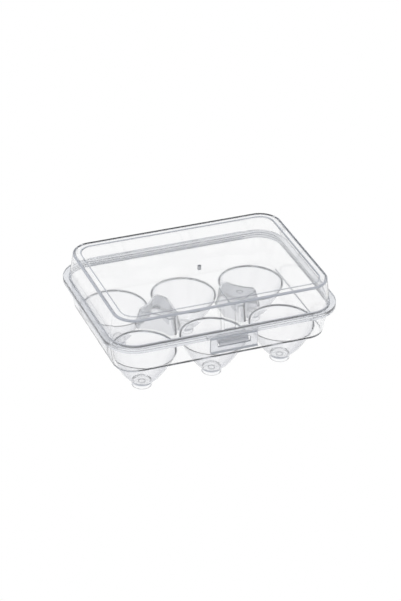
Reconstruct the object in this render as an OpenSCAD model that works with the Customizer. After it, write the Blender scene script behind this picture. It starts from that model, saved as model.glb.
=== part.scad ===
// Clear egg keeper for six eggs: a tray of round cups under a hinged lid, held shut by a hasp.
// The origin is on the table under the middle of the closed box, hasp and hinge counted in.
// X runs along the two rows of cups, the hasp is at -Y, the lid's hinge at +Y and Z is up.
// Millimetres.

/* [Box] */
// Length over the rims
box_length = 169.2; // [150:0.2:190]
// Depth over the rims
box_depth = 121.2; // [108:0.2:140]
// Height from the table to the top of the closed lid
box_height = 70; // [66:0.5:84]
// Corner radius of both rims, seen from above
rim_corner_r = 22.1; // [19:0.1:25]
// Height of the face where the two rims meet
parting_z = 50.2; // [48:0.2:56]
// How far both rims stand out from their walls
rim_overhang = 4.5; // [2:0.1:5]
// Wall of the tray and of the lid
wall_t = 1.3; // [1:0.1:1.8]

/* [Tray] */
// Thickness of the tray's rim
tray_rim_t = 2.2; // [1.6:0.1:3]
// Height of the tray's deck above the table
deck_z = 29; // [27:0.5:33]
// Thickness of the deck
deck_t = 1.4; // [1:0.1:2]
// How far the tray's wall leans in from rim to deck
tray_lean = 3.6; // [2:0.1:4.5]
// Rounding under the deck's outer edge
deck_edge_r = 1.2; // [0.5:0.1:1.3]

/* [Cups] */
// Least gap between neighbouring cups' mouths
cup_gap = 4.1; // [3:0.1:8]
// Strip of deck between a cup's mouth and the deck's outer edge
cup_edge = 1.3; // [1.2:0.1:4]
// Radius of the rounded lip that leads into a cup
cup_lip_r = 0.9; // [0.5:0.1:1.2]
// Wall of a cup
cup_t = 1.2; // [0.9:0.1:1.6]
// Outer radius of the ring that a cup stands on
foot_r = 7; // [6:0.1:8.5]
// Height of that ring
foot_h = 2.8; // [2:0.1:4]
// Radius of the small moulding ring under a cup's floor
gate_ring_r = 2.5; // [1.8:0.1:3.5]

/* [Posts] */
// Height of a post above the deck
post_h = 12; // [8:0.5:16]
// Wall of a post
post_t = 1.2; // [0.9:0.1:1.6]
// Gap from a cup's mouth to the post's foot
post_gap = 1; // [0.6:0.1:1.6]
// How far a post's sides lean away from the cups over its height
post_lean = 1.5; // [0.5:0.1:2.5]
// From a post's outer end to the middles of the outer cups
post_end_x = 5.7; // [5:0.1:10]
// From a post's front and back ends to the middles of the cups there
post_end_y = 8.5; // [6:0.1:12]
// From a post's inner side to the middles of the middle cups
post_side_x = 16.2; // [14:0.1:18]
// How far a post's ends lean in over its height
post_end_lean = 3.2; // [1:0.1:4]
// Radius of the moulding ring on a post's top
post_mark_r = 2.4; // [1.5:0.1:2.8]

/* [Lid] */
// Thickness of the lid's rim
lid_rim_t = 1.6; // [1.2:0.1:2.4]
// How far the lid's wall leans in from rim to top
lid_lean = 2.4; // [1:0.1:4]
// Width of the raised border round the lid's top
lid_border_w = 5.8; // [4:0.1:9]
// Drop from the border to the lid's middle panel
lid_step = 0.4; // [0.2:0.1:0.5]
// Rounding of the lid's top edge
lid_edge_r = 1; // [0.5:0.1:1.2]
// Width of each upright rib above the hasp
rib_w = 2.2; // [1.4:0.1:3]
// Distance between the two ribs
rib_pitch = 10.4; // [7:0.1:16]
// How far a rib stands out of the lid's wall
rib_proud = 0.7; // [0.4:0.1:1.2]
// Radius of the gate stub inside the lid
gate_stub_r = 1.3; // [0.8:0.1:2]
// Length of that stub
gate_stub_h = 3; // [1.5:0.1:4]

/* [Hinges] */
// Length of the lid's moulded hinge
hinge_l = 116; // [60:1:122]
// Thickness of a hinge leaf
leaf_t = 0.6; // [0.4:0.05:0.7]
// Distance from the rims' back edge to the hinge's axis
hinge_reach = 1.8; // [1.6:0.1:2.4]
// Radius of the bead that a hinge turns on
bead_r = 0.5; // [0.4:0.05:0.6]
// Running gap round a bead
bead_gap = 0.05; // [0.03:0.01:0.1]

/* [Hasp] */
// Width of the tab that carries the hasp
tab_w = 37; // [30:0.5:44]
// How far the tab stands out from the lid's rim
tab_reach = 2.4; // [1.6:0.1:3.4]
// Width of the hasp
hasp_w = 34; // [28:0.5:40]
// Thickness of the hasp
hasp_t = 1.5; // [1.2:0.1:2]
// Height of the hasp's lower edge above the table
hasp_low_z = 40.2; // [38:0.2:41]
// Height of the bar under the hasp's window
hasp_bar_h = 4.2; // [3.4:0.1:5]
// Width of the hasp's window
window_w = 24; // [18:0.5:26]
// Height of the hasp's window
window_h = 4.4; // [4.2:0.1:5]
// Lip at the hasp's lower edge for a fingertip
pull_reach = 1.4; // [0.8:0.1:2.5]
// Width of the catch that the window drops over
catch_w = 21; // [14:0.5:23]

/* [Hidden] */

$fn = 96;
bead_fn = 48;
eps = 0.01;

// Bevel along the rims' edges and the catch's nose
bevel = 0.4;
// Room for a cut to pass right through what it cuts
past = 1;

// Straight stretches between the corner centres, shared by every level of the box
core_x = box_length / 2 - rim_corner_r;
core_y = box_depth / 2 - rim_corner_r;

// Distances out from the core at each level
wall_r = rim_corner_r - rim_overhang;
deck_r = wall_r - tray_lean;
lid_top_r = wall_r - lid_lean;
border_in_r = lid_top_r - lid_border_w;

// Cups: as wide as both rows leave room for, spread to the deck's edges
cup_r = min((core_x + deck_r - cup_edge - cup_gap) / 3,
            (core_y + deck_r - cup_edge - cup_gap / 2) / 2);
cup_pitch_x = core_x + deck_r - cup_edge - cup_r;
cup_pitch_y = 2 * (core_y + deck_r - cup_edge - cup_r);
cup_lip_from = 80;
cup_lip_to = 160;

// Posts: reach of the foot from the middle of four cups, and lean of its sides and ends
post_reach_out = cup_pitch_x / 2 - post_end_x;
post_reach_y = cup_pitch_y / 2 - post_end_y;
post_reach_in = cup_pitch_x / 2 - post_side_x;
post_mark_x = (post_reach_out - post_reach_in) / 2;
mark_depth = 0.4;
mark_w = 0.6;

// Heights
tray_rim_z = parting_z - tray_rim_t;
lid_rim_z = parting_z + lid_rim_t;
panel_top_z = box_height - lid_step;
panel_low_z = box_height - wall_t - lid_step;

// Bowls: depth, and depth of the whole curve that each is cut from
bowl_depth = deck_z - foot_h - cup_t;
bowl_curve = bowl_depth / (1 - pow((foot_r - cup_t) / (cup_r - cup_t), 2));
bowl_steps = 14;
gate_ring_w = 0.5;

// Hasp: the catch stands clear of the window's edges by these
catch_gap = 0.3;
catch_room = 1.1;
rim_front_y = -box_depth / 2;
rim_back_y = box_depth / 2;
tab_front_y = rim_front_y - tab_reach;
tab_mid_z = parting_z + lid_rim_t / 2;
hasp_axis_y = tab_front_y - bead_r - bead_gap;
hasp_in_y = hasp_axis_y;
hasp_out_y = hasp_in_y - hasp_t;
hasp_top_drop = 0.2;
window_low_z = hasp_low_z + hasp_bar_h;
window_top_z = window_low_z + window_h;
catch_low_z = window_low_z + catch_room;
catch_top_z = window_top_z - catch_gap;
catch_out_y = hasp_out_y - catch_gap;
catch_back_y = rim_front_y + 2 * bevel + wall_t;

// Main hinge
hinge_axis_y = rim_back_y + hinge_reach;

// From the middle of the rims to the middle of the whole closed box, along Y
frame_y = (hinge_axis_y + bead_r + hasp_out_y - pull_reach) / 2;

// Distance that the lid's wall stands out past the rounded edge above it
edge_step = 0.1;

// Points of an arc from angle a0 to a1 about a centre, in a profile
function arc(cx, cy, r, a0, a1, n = 6) =
    [for (i = [0 : n]) let (a = a0 + (a1 - a0) * i / n) [cx + r * cos(a), cy + r * sin(a)]];

// Radius of a bowl's outside at depth d under the mouth
function bowl_out_r(d) = cup_t + (cup_r - cup_t) * sqrt(1 - d / bowl_curve);

// Outline of the box at distance r out from the core
module outline(r) {
    square([2 * (core_x + r), 2 * core_y], center = true);
    square([2 * core_x, 2 * (core_y + r)], center = true);
    for (sx = [-1, 1], sy = [-1, 1])
        translate([sx * core_x, sy * core_y]) circle(r);
}

// Carries a profile, drawn as distance out from the core against height, all round the box
module around_core() {
    for (side = [0, 180]) rotate([0, 0, side]) {
        translate([core_x, 0, 0]) rotate([90, 0, 0])
            linear_extrude(height = 2 * core_y, center = true) children();
        translate([0, core_y, 0]) rotate([90, 0, 90])
            linear_extrude(height = 2 * core_x, center = true) children();
        translate([core_x, core_y, 0]) rotate_extrude(angle = 90) children();
        translate([-core_x, core_y, 0]) rotate([0, 0, 90]) rotate_extrude(angle = 90) children();
    }
}

// Carries a profile, drawn as y against z, along X for a length centred on x
module along_x(length, x = 0) {
    translate([x, 0, 0]) rotate([90, 0, 90])
        linear_extrude(height = length, center = true) children();
}

module tray_rim() {
    color("#c9d3de")
    around_core() polygon(concat(
        [[wall_r - wall_t, tray_rim_z], [rim_corner_r - bevel, tray_rim_z]],
        [[rim_corner_r, tray_rim_z + bevel], [rim_corner_r, parting_z], [wall_r - wall_t, parting_z]]));
}

module tray_wall() {
    color("#e3e8ee")
    around_core() polygon([
        [deck_r - wall_t, deck_z], [deck_r, deck_z],
        [wall_r, tray_rim_z], [wall_r - wall_t, tray_rim_z]]);
}

// Deck, open under each post and at each cup
module tray_deck() {
    color("#e9edf2")
    difference() {
        union() {
            translate([0, 0, deck_z - deck_t]) linear_extrude(height = deck_t) outline(deck_r - deck_edge_r);
            around_core() polygon(concat(
                [[0, deck_z], [0, deck_z - deck_t], [deck_r - deck_edge_r, deck_z - deck_t]],
                arc(deck_r - deck_edge_r, deck_z - deck_t + deck_edge_r, deck_edge_r, -90, 0),
                [[deck_r, deck_z]]));
        }
        at_cups() translate([0, 0, deck_z - deck_t - past]) cylinder(r = cup_r, h = deck_t + 2 * past);
        for (s = [-1, 1]) translate([s * cup_pitch_x / 2, 0, deck_z - deck_t - past])
            mirror([s < 0 ? 1 : 0, 0, 0]) post_block(post_t, 0, deck_t + 2 * past, 0);
    }
}

module at_cups() {
    for (ix = [-1 : 1], iy = [-1, 1]) translate([ix * cup_pitch_x, iy * cup_pitch_y / 2, 0]) children();
}

// One cup: a bowl that narrows like an egg's end, on a ring foot
module cup(ix, iy) {
    translate([ix * cup_pitch_x, iy * cup_pitch_y / 2, 0])
    rotate_extrude() polygon(concat(
        [[0, foot_h], [gate_ring_r - gate_ring_w, foot_h],
         [gate_ring_r - gate_ring_w, foot_h - gate_ring_w],
         [gate_ring_r, foot_h - gate_ring_w], [gate_ring_r, foot_h], [foot_r - cup_t, foot_h],
         [foot_r - cup_t, 0], [foot_r, 0], [foot_r, foot_h]],
        [for (i = [bowl_steps : -1 : 1]) let (d = bowl_depth * i / bowl_steps)
            [bowl_out_r(d), deck_z - d]],
        [[cup_r, deck_z - deck_t], [cup_r, deck_z]],
        arc(cup_r - cup_lip_r * cos(cup_lip_from), deck_z - cup_lip_r, cup_lip_r, cup_lip_from, cup_lip_to),
        [for (i = [1 : bowl_steps]) let (d = bowl_depth * i / bowl_steps)
            [bowl_out_r(d) - cup_t, deck_z - d]],
        [[0, foot_h + cup_t]]));
}

module cup_front_left() { color("#dfe6ed") cup(-1, -1); }
module cup_front_middle() { color("#dfe6ed") cup(0, -1); }
module cup_front_right() { color("#dfe6ed") cup(1, -1); }
module cup_back_left() { color("#dfe6ed") cup(-1, 1); }
module cup_back_middle() { color("#dfe6ed") cup(0, 1); }
module cup_back_right() { color("#dfe6ed") cup(1, 1); }

// Space that a post fills between four cups, drawn in by inset on every side, from z0 for
// height h; lean 1 follows the post's lean, lean 0 keeps the section that its foot has
module post_block(inset, z0, h, lean = 1) {
    side = lean * post_lean / post_h;
    end = lean * post_end_lean / post_h;
    in0 = post_reach_in - inset - end * z0;
    out0 = post_reach_out - inset - end * z0;
    y0 = post_reach_y - inset - end * z0;
    difference() {
        intersection() {
            translate([0, 0, z0]) rotate([90, 0, 0])
                linear_extrude(height = 2 * cup_pitch_y, center = true)
                polygon([[-in0, 0], [out0, 0], [out0 - end * h, h], [-in0 + end * h, h]]);
            translate([0, 0, z0]) rotate([90, 0, 90])
                linear_extrude(height = 2 * cup_pitch_x, center = true)
                polygon([[-y0, 0], [y0, 0], [y0 - end * h, h], [-y0 + end * h, h]]);
        }
        for (sx = [-1, 1], sy = [-1, 1])
            translate([sx * cup_pitch_x / 2, sy * cup_pitch_y / 2, z0])
            cylinder(r1 = cup_r + post_gap + inset + side * z0,
                     r2 = cup_r + post_gap + inset + side * (z0 + h), h = h);
    }
}

// Hollow post between four cups, its long end towards the end of the box
module post() {
    difference() {
        post_block(0, 0, post_h);
        post_block(post_t, -past, post_h - post_t + past);
        translate([post_mark_x, 0, post_h - mark_depth])
            difference() {
                cylinder(r = post_mark_r, h = past);
                cylinder(r = post_mark_r - mark_w, h = past);
            }
    }
}

module post_left() {
    color("#cdd6e0") translate([-cup_pitch_x / 2, 0, deck_z]) mirror([1, 0, 0]) post();
}
module post_right() {
    color("#cdd6e0") translate([cup_pitch_x / 2, 0, deck_z]) post();
}

// Wedge on the tray's rim that the hasp's window drops over
module hasp_catch() {
    color("#b9c4d0")
    along_x(catch_w) polygon([
        [rim_front_y, parting_z - bevel], [rim_front_y, tray_rim_z], [catch_back_y, tray_rim_z],
        [catch_back_y, catch_low_z], [catch_out_y + bevel, catch_low_z],
        [catch_out_y, catch_low_z + bevel], [catch_out_y, catch_low_z + 3 * bevel],
        [hasp_in_y + catch_gap, catch_top_z]]);
}

// Half of the thin moulded hinge on the tray's side
module tray_hinge_leaf() {
    color("#c9d3de")
    difference() {
        along_x(hinge_l) translate([rim_back_y, parting_z - leaf_t]) square([hinge_reach, leaf_t]);
        hinge_bead_space(0);
    }
}

module hinge_bead_space(gap) {
    translate([0, hinge_axis_y, parting_z]) rotate([0, 90, 0])
        cylinder(r = bead_r + gap, h = hinge_l + past, center = true, $fn = bead_fn);
}

module lid_hinge_bead() {
    color("#c9d3de")
    translate([0, hinge_axis_y, parting_z]) rotate([0, 90, 0])
        cylinder(r = bead_r, h = hinge_l, center = true, $fn = bead_fn);
}

module lid_hinge_leaf() {
    color("#d3dbe4")
    difference() {
        along_x(hinge_l) translate([rim_back_y, parting_z]) square([hinge_reach, leaf_t]);
        hinge_bead_space(bead_gap);
    }
}

module lid_rim() {
    color("#d3dbe4")
    around_core() polygon([
        [wall_r - wall_t, parting_z], [rim_corner_r, parting_z],
        [rim_corner_r, lid_rim_z - bevel], [rim_corner_r - bevel, lid_rim_z],
        [wall_r - wall_t, lid_rim_z]]);
}

module lid_wall() {
    color("#edf0f4")
    around_core() polygon([
        [wall_r - wall_t, lid_rim_z], [wall_r, lid_rim_z],
        [lid_top_r + edge_step, panel_low_z], [lid_top_r + edge_step - wall_t, panel_low_z]]);
}

// Raised border round the top, with the rounded edge of the lid
module lid_border() {
    color("#dde3ea")
    around_core() polygon(concat(
        [[border_in_r, panel_low_z], [lid_top_r + edge_step, panel_low_z]],
        arc(lid_top_r - lid_edge_r, box_height - lid_edge_r, lid_edge_r, 0, 90),
        [[border_in_r, box_height]]));
}

// Flat middle of the lid, with the stub that the moulding gate leaves inside
module lid_panel() {
    color("#f4f6f8")
    union() {
        translate([0, 0, panel_low_z]) linear_extrude(height = panel_top_z - panel_low_z) outline(border_in_r);
        translate([0, 0, panel_low_z - gate_stub_h]) cylinder(r = gate_stub_r, h = gate_stub_h + eps);
    }
}

module lid_rib(side) {
    slope = (lid_lean - edge_step) / (panel_low_z - lid_rim_z);
    low_y = -(core_y + wall_r);
    high_y = low_y + slope * (panel_low_z - lid_rim_z);
    along_x(rib_w, side * rib_pitch / 2) polygon([
        [low_y, lid_rim_z], [low_y - rib_proud, lid_rim_z],
        [high_y - rib_proud, panel_low_z - rib_proud], [high_y, panel_low_z]]);
}

module lid_rib_left() { color("#d3dbe4") lid_rib(-1); }
module lid_rib_right() { color("#d3dbe4") lid_rib(1); }

// Tab on the lid's rim that carries the hasp
module lid_tab() {
    color("#c3cdd8")
    along_x(tab_w) translate([tab_front_y, parting_z]) square([tab_reach, lid_rim_t]);
}

module hasp_bead_space(gap) {
    translate([0, hasp_axis_y, tab_mid_z]) rotate([0, 90, 0])
        cylinder(r = bead_r + gap, h = tab_w + past, center = true, $fn = bead_fn);
}

module hasp_bead() {
    color("#c3cdd8")
    translate([0, hasp_axis_y, tab_mid_z]) rotate([0, 90, 0])
        cylinder(r = bead_r, h = hasp_w, center = true, $fn = bead_fn);
}

// Flat frame that hangs in front of the rims, with the window for the catch
module hasp_frame() {
    color("#b9c4d0")
    difference() {
        along_x(hasp_w) polygon([
            [hasp_out_y, hasp_low_z], [hasp_in_y, hasp_low_z],
            [hasp_in_y, tab_mid_z], [hasp_out_y, tab_mid_z - hasp_top_drop]]);
        along_x(window_w) translate([hasp_out_y - past, window_low_z])
            square([hasp_t + 2 * past, window_h]);
        hasp_bead_space(0);
    }
}

// Lip along the hasp's lower edge
module hasp_pull() {
    color("#b9c4d0")
    along_x(hasp_w) polygon([
        [hasp_out_y, hasp_low_z], [hasp_out_y - pull_reach, hasp_low_z],
        [hasp_out_y, hasp_low_z + pull_reach]]);
}

// Puts the drawing, which is centred on the rims, into the part's frame
module placed() {
    translate([0, -frame_y, 0]) children();
}

placed() tray_rim();
placed() tray_wall();
placed() tray_deck();
placed() cup_front_left();
placed() cup_front_middle();
placed() cup_front_right();
placed() cup_back_left();
placed() cup_back_middle();
placed() cup_back_right();
placed() post_left();
placed() post_right();
placed() hasp_catch();
placed() tray_hinge_leaf();
placed() lid_hinge_bead();
placed() lid_rim();
placed() lid_wall();
placed() lid_border();
placed() lid_panel();
placed() lid_rib_left();
placed() lid_rib_right();
placed() lid_hinge_leaf();
placed() lid_tab();
placed() hasp_bead();
placed() hasp_frame();
placed() hasp_pull();
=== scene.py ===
"""Looks of the clear egg keeper: its three mouldings, their finishes, the stage and the camera.

The tray, the lid and the hasp are each one moulding of clear polypropylene, so each is made
here as one closed skin with its real roundings, and stands for the CAD nodes of that moulding.
Sizes are in millimetres, centred on the rims, until a mesh is put into the frame in metres.
"""

import logging
import math
from dataclasses import dataclass, field
from enum import Enum
from typing import Callable, Sequence

import bmesh
import bpy
from mathutils import Matrix, Vector

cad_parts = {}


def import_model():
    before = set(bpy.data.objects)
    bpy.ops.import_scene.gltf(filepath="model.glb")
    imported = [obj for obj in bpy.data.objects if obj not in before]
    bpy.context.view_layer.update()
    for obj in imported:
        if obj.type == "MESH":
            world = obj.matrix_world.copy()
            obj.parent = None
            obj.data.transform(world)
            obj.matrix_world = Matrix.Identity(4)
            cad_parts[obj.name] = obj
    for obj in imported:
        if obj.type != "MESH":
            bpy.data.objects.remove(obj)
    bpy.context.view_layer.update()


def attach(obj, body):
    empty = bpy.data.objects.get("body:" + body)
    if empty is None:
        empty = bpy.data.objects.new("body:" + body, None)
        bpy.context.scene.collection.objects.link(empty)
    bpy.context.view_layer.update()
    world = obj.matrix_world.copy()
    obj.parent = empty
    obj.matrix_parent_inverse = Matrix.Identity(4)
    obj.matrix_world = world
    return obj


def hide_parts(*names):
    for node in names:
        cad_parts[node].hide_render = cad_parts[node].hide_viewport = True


LOG = logging.getLogger("egg_keeper")
MM = 0.001
FRAME_SHIFT_Y = 1.775  # from the middle of the rims to the middle of the whole box

WELD_MM = 1e-5  # points of a new mesh that lie closer than this are one
CUTTER_OVER = 2.0  # millimetres that a solid for cutting stands past what it cuts
SLACK = 0.1  # millimetres to tell by a face's middle which form it is on

Point = tuple[float, float]


def linear(code: str) -> tuple[float, float, float, float]:
    """Turns an sRGB hex colour into the linear colour that a socket takes.

    Args:
        code: The colour as "#rrggbb".

    Returns:
        Linear red, green and blue, and an alpha of 1.
    """
    parts = [int(code[i : i + 2], 16) / 255 for i in (1, 3, 5)]
    curve = [c / 12.92 if c <= 0.04045 else ((c + 0.055) / 1.055) ** 2.4 for c in parts]
    return (curve[0], curve[1], curve[2], 1.0)


def add_node(
    tree: bpy.types.NodeTree,
    kind: str,
    settings: dict[str, object] | None = None,
    values: dict[str | int, object] | None = None,
    links: dict[str | int, bpy.types.NodeSocket] | None = None,
) -> bpy.types.Node:
    """Adds one node with its settings, its sockets' values and what feeds them.

    Args:
        tree: The node tree that gets the node.
        kind: The node's type, such as "ShaderNodeBump".
        settings: Properties of the node itself.
        values: Values of its input sockets, by name or number.
        links: Output sockets that feed its inputs, by the input's name or number.

    Returns:
        The new node.
    """
    node = tree.nodes.new(kind)
    for name, value in (settings or {}).items():
        setattr(node, name, value)
    for name, value in (values or {}).items():
        node.inputs[name].default_value = value
    for name, source in (links or {}).items():
        tree.links.new(source, node.inputs[name])
    return node


def empty_tree(owner: bpy.types.Material | bpy.types.World) -> bpy.types.NodeTree:
    """Gives a new material or world a node tree with nothing in it.

    Args:
        owner: The material or the world.

    Returns:
        Its node tree.
    """
    owner.use_nodes = True
    owner.node_tree.nodes.clear()
    return owner.node_tree


def add_object(name: str, data: bpy.types.ID) -> bpy.types.Object:
    """Makes an object at the origin and puts it in the scene.

    Args:
        name: The object's name.
        data: Its mesh, lamp or camera.

    Returns:
        The object.
    """
    thing = bpy.data.objects.new(name, data)
    bpy.context.scene.collection.objects.link(thing)
    return thing


class Slot(Enum):
    """The record's material slots."""

    CLEAR = "clear_polypropylene"
    RIM = "rim_polypropylene"


@dataclass(frozen=True)
class MouldedPolypropylene:
    """Injection moulded polypropylene, clear with a little milk in it.

    Attributes:
        name: The material's name.
        tint: Colour of what comes through the plastic.
        clearness: How much of the skin is clear and not milky, 1 for all of it.
        rough_low: Least roughness of the skin.
        rough_high: Most roughness of the skin.
        ripple: Strength of the flow ripples.
        painted_edge_shade: Colour of the plastic seen on edge, a painted shade standing in for the
            grey that refraction draws there.
        painted_edge_shade_from: How far a face turns away before that colour starts, 1 for edge
            on.
        soak_per_mm: How fast the plastic soaks up light.
        soaked: Colour that is left deep in the plastic.
    """

    name: str
    tint: str
    clearness: float
    rough_low: float
    rough_high: float
    ripple: float
    painted_edge_shade: str
    painted_edge_shade_from: float
    soak_per_mm: float
    soaked: str = "#8d9bb0"
    ior: float = 1.49
    ripple_mm: float = 7.0  # flow ripples of the moulding are some millimetres long
    ripple_deep_mm: float = 0.2
    haze_mm: float = 22.0  # and its haze drifts over a few centimetres
    noise_low: float = 0.3  # noise seldom leaves this span
    noise_high: float = 0.7

    def build(self) -> bpy.types.Material:
        """Makes the material.

        Returns:
            A glass-like material whose haze and ripples come from noise.
        """
        mat = bpy.data.materials.new(self.name)
        tree = empty_tree(mat)
        place = add_node(tree, "ShaderNodeTexCoord").outputs["Object"]
        drift = add_node(
            tree,
            "ShaderNodeTexNoise",
            values={"Scale": 1 / (self.haze_mm * MM), "Detail": 2.0},
            links={"Vector": place},
        )
        rough = add_node(
            tree,
            "ShaderNodeMapRange",
            values={
                "From Min": self.noise_low,
                "From Max": self.noise_high,
                "To Min": self.rough_low,
                "To Max": self.rough_high,
            },
            links={"Value": drift.outputs["Fac"]},
        )
        flow = add_node(
            tree,
            "ShaderNodeTexNoise",
            values={"Scale": 1 / (self.ripple_mm * MM), "Detail": 1.0},
            links={"Vector": place},
        )
        bump = add_node(
            tree,
            "ShaderNodeBump",
            values={"Strength": self.ripple, "Distance": self.ripple_deep_mm * MM},
            links={"Height": flow.outputs["Fac"]},
        )
        # A wall seen on edge has more plastic in the way, which the volume soaks; the grey here is
        # painted shade.
        edge = add_node(
            tree,
            "ShaderNodeMapRange",
            values={"From Min": self.painted_edge_shade_from, "From Max": 1.0},
            links={"Value": add_node(tree, "ShaderNodeLayerWeight").outputs["Facing"]},
        )
        colour = add_node(
            tree,
            "ShaderNodeMix",
            settings={"data_type": "RGBA"},
            values={6: linear(self.tint), 7: linear(self.painted_edge_shade)},
            links={0: edge.outputs["Result"]},
        )
        skin = add_node(
            tree,
            "ShaderNodeBsdfPrincipled",
            values={"IOR": self.ior, "Transmission Weight": self.clearness},
            links={
                "Base Color": colour.outputs[2],
                "Roughness": rough.outputs["Result"],
                "Normal": bump.outputs["Normal"],
            },
        )
        depth = add_node(
            tree,
            "ShaderNodeVolumeAbsorption",
            values={"Color": linear(self.soaked), "Density": self.soak_per_mm / MM},
        )
        add_node(
            tree,
            "ShaderNodeOutputMaterial",
            links={"Surface": skin.outputs["BSDF"], "Volume": depth.outputs["Volume"]},
        )
        return mat


# Thin walls: the eye sees straight through them, and only their edges draw a grey line, partly
# painted shade.
THIN_WALL = MouldedPolypropylene(
    name="moulded_polypropylene_wall",
    tint="#ffffff",
    clearness=0.99,
    rough_low=0.02,
    rough_high=0.05,
    ripple=0.04,
    painted_edge_shade="#d0d3d9",
    painted_edge_shade_from=0.60,
    soak_per_mm=0.008,
)
# Cups: curved walls that grey softly towards their outlines, partly by painted shade.
CURVED_WALL = MouldedPolypropylene(
    name="moulded_polypropylene_cup",
    tint="#fdfdfe",
    clearness=0.97,
    rough_low=0.03,
    rough_high=0.07,
    ripple=0.05,
    painted_edge_shade="#b9bcc4",
    painted_edge_shade_from=0.36,
    soak_per_mm=0.010,
)
# Rims, posts and the hasp's flat sides: light runs along them and comes out pale grey-blue, a
# little frosted.
THICK_BAND = MouldedPolypropylene(
    name="moulded_polypropylene_rim",
    tint="#f6f7fa",
    clearness=0.80,
    rough_low=0.05,
    rough_high=0.12,
    ripple=0.06,
    painted_edge_shade="#dee1e7",
    painted_edge_shade_from=0.45,
    soak_per_mm=0.002,
)
# Small roundings, rings, marks and the hasp's edges: they bend the light away, and the grey lines
# that this draws are painted in as shade, with a grey, half milky skin.
GREY_LINE_PAINTED_SHADE = MouldedPolypropylene(
    name="polypropylene_grey_line_painted_shade",
    tint="#cdd0d7",
    clearness=0.44,
    rough_low=0.10,
    rough_high=0.20,
    ripple=0.04,
    painted_edge_shade="#cbced5",
    painted_edge_shade_from=0.40,
    soak_per_mm=0.004,
)
# Lips, the catch and the corners that touch at the parting: painted light and shade, a pale grey,
# milky skin that keeps them pale grey where the light that runs through the plastic is lost.
PALE_LINE_PAINTED_LIGHT = MouldedPolypropylene(
    name="polypropylene_pale_line_painted_light",
    tint="#e8eaef",
    clearness=0.40,
    rough_low=0.10,
    rough_high=0.20,
    ripple=0.04,
    painted_edge_shade="#dfe1e7",
    painted_edge_shade_from=0.40,
    soak_per_mm=0.002,
)


class Finish(Enum):
    """Slots of a moulding's finishes, in the order of its materials."""

    WALL = 0
    CURVED = 1
    BAND = 2
    # painted shade: grey lines on roundings, rings, marks and edges
    EDGE = 3
    # painted light and shade: pale grey lips, catch and corners
    LIP = 4


def fillet(points: Sequence[tuple[float, float, float]], steps: int = 5) -> list[Point]:
    """Rounds the inner corners of an open line.

    Args:
        points: Corners as (distance, height, radius of the rounding).
        steps: Straight pieces in each rounding.

    Returns:
        The rounded line, with corners of radius 0 and points along a straight kept as they are.
    """
    nearly_straight = math.radians(89)
    line: list[Point] = [points[0][:2]]
    for before, here, after in zip(points, points[1:], points[2:]):
        corner = Vector(here[:2])
        back = (Vector(before[:2]) - corner).normalized()
        ahead = (Vector(after[:2]) - corner).normalized()
        half = back.angle(ahead) / 2
        if here[2] <= 0 or half > nearly_straight:
            line.append(here[:2])
            continue
        reach = here[2] / math.tan(half)
        centre = corner + (back + ahead).normalized() * (here[2] / math.sin(half))
        start = corner + back * reach - centre
        end = corner + ahead * reach - centre
        turn = start.angle_signed(end)
        for i in range(steps + 1):
            arm = start.copy()
            arm.rotate(Matrix.Rotation(-turn * i / steps, 2))
            line.append(tuple(centre + arm))
    line.append(points[-1][:2])
    return line


def mesh_piece(name: str, make: Callable[[bmesh.types.BMesh], None]) -> bpy.types.Object:
    """Makes an object from mesh code.

    Args:
        name: The object's name.
        make: Fills an empty bmesh, in millimetres centred on the rims.

    Returns:
        The object, with its mesh in metres in the part's frame.
    """
    bm = bmesh.new()
    make(bm)
    bmesh.ops.remove_doubles(bm, verts=bm.verts, dist=WELD_MM)
    bmesh.ops.recalc_face_normals(bm, faces=bm.faces)
    shift = Matrix.Translation((0, FRAME_SHIFT_Y * MM, 0))
    bmesh.ops.transform(bm, matrix=shift @ Matrix.Scale(MM, 4), verts=bm.verts)
    mesh = bpy.data.meshes.new(name)
    bm.to_mesh(mesh)
    bm.free()
    return add_object(name, mesh)


def skin_rings(
    bm: bmesh.types.BMesh, rings: Sequence[Sequence[Vector]], closed: bool = False
) -> None:
    """Joins rings of points with faces and caps the first and the last.

    Args:
        bm: The mesh to add to.
        rings: Rings with the same number of points each. A ring of one point is a pole.
        closed: True if the last ring joins the first, with no caps.
    """
    made = [[bm.verts.new(p) for p in ring] for ring in rings]
    pairs = list(zip(made, made[1:])) + ([(made[-1], made[0])] if closed else [])
    for low, high in pairs:
        count = max(len(low), len(high))
        for i in range(count):
            j = (i + 1) % count
            if len(low) == 1:
                bm.faces.new((low[0], high[j], high[i]))
            elif len(high) == 1:
                bm.faces.new((low[i], low[j], high[0]))
            else:
                bm.faces.new((low[i], low[j], high[j], high[i]))
    if not closed:
        for ring in (made[0], made[-1]):
            if len(ring) > 1:
                bm.faces.new(ring)


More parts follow.
